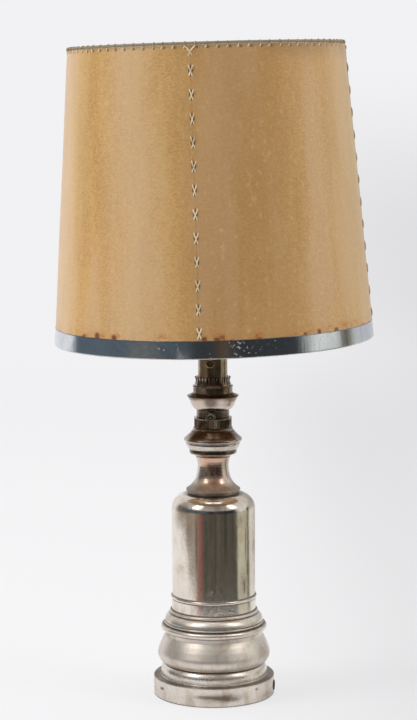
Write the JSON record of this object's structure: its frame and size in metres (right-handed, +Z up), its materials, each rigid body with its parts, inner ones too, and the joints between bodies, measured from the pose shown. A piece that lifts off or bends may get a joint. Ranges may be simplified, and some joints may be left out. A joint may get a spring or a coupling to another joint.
{
  "type": "table lamp",
  "caption": "Table lamp on a plated candlestick-like oil-lamp column with a burner, winder knob and pronged gallery, under a laced drum-cone shade with a chrome band.",
  "frame": {"origin": "centre of the felt face that the lamp stands on", "axes": "+Z up along the lamp's axis, -Y towards the picture's viewer, +X to the viewer's right"},
  "size_m": [0.2986, 0.2986, 0.6167],
  "materials": {
    "silver_plate": "worn, tarnished silver plate over brass, polished",
    "burner_bronze": "darkened brass with worn plate, satin",
    "stem_brass": "dark brass, satin",
    "ballast_iron": "as cast",
    "steel": "plain turned",
    "felt": "dyed wool felt",
    "bushing": "matt",
    "lampholder_brass": "satin",
    "thermoplastic": "matt",
    "porcelain": "glazed",
    "bulb_glass": "clear",
    "bulb_metal": "rolled",
    "bulb_black": "dark pressed glass",
    "shade_wire": "cream enamel",
    "chrome_sheet": "bright, lightly marked",
    "parchment": "aged parchment, satin",
    "lacing": "waxed thread"
  },
  "bodies": {
    "lamp": {"felt_pad": "felt", "bottom_cover": "steel", "ballast": "ballast_iron", "foot_plate": "silver_plate", "inlet_bush": "bushing", "foot_drum": "silver_plate", "foot_ring_lower": "silver_plate", "foot_ring_upper": "silver_plate", "body_band": "silver_plate", "body_disc": "steel", "body_shell": "silver_plate", "neck": "silver_plate", "neck_disc": "steel", "burner_cup": "burner_bronze", "knurled_ring": "burner_bronze", "burner_throat": "burner_bronze", "gallery_ring": "burner_bronze", "gallery_prongs": "burner_bronze", "stem_tube": "stem_brass", "stem_screw": "stem_brass", "threaded_rod": "steel", "base_nut": "steel", "base_washer": "steel", "stack_washer": "steel", "stack_nut": "steel", "rod_sleeve": "steel", "winder_bush": "lampholder_brass", "air_tube": "lampholder_brass", "holder_cap": "lampholder_brass", "holder_skirt": "lampholder_brass", "holder_core": "porcelain", "holder_liner": "thermoplastic", "screw_shell": "lampholder_brass", "centre_contact": "lampholder_brass", "terminal_screws": "steel", "clamp_ring_lower": "lampholder_brass"},
    "shade": {"fitter_ring": "shade_wire", "shade_arms": "shade_wire", "shade_bottom_wire": "shade_wire", "shade_top_wire": "shade_wire", "chrome_band": "chrome_sheet", "parchment_panels": "parchment", "edge_lacing": "lacing", "seam_lacing_front": "lacing", "seam_lacing_right": "lacing", "seam_lacing_back": "lacing", "seam_lacing_left": "lacing"},
    "bulb": {"bulb_tip": "bulb_metal", "bulb_plug": "bulb_black", "bulb_cap": "bulb_metal", "bulb_glass": "bulb_glass", "bulb_stem": "bulb_glass", "bulb_filament": "steel"},
    "shade_clamp": {"clamp_ring_upper": "lampholder_brass"},
    "winder": {"winder_knob": "burner_bronze", "winder_spindle": "steel", "winder_pinion": "lampholder_brass"},
    "wick": {"wick_rack": "lampholder_brass", "wick_carrier": "lampholder_brass"}
  },
  "joints": [
    {"name": "shade_turn", "type": "hinge", "parent": "lamp", "child": "shade", "pos_m": [0, 0, 0.4], "axis": [0, 0, 1], "continuous": true},
    {"name": "clamp_ring_turn", "type": "hinge", "parent": "lamp", "child": "shade_clamp", "pos_m": [0, 0, 0.4046], "axis": [0, 0, 1], "continuous": true},
    {"name": "bulb_lift", "type": "slide", "parent": "lamp", "child": "bulb", "axis": [0, 0, 1], "range_m": [0, 0.026]},
    {"name": "winder_turn", "type": "hinge", "parent": "lamp", "child": "winder", "pos_m": [0, 0, 0.2674], "axis": [0.1045, 0.9945, 0], "range_deg": [0, 180]},
    {"name": "wick_lift", "type": "slide", "parent": "lamp", "child": "wick", "axis": [0, 0, 1], "range_m": [0, 0.01]}
  ],
  "couplings": [
    {"joint": "winder_turn", "follows": "wick_lift", "rad_per_m": 312.5}
  ]
}
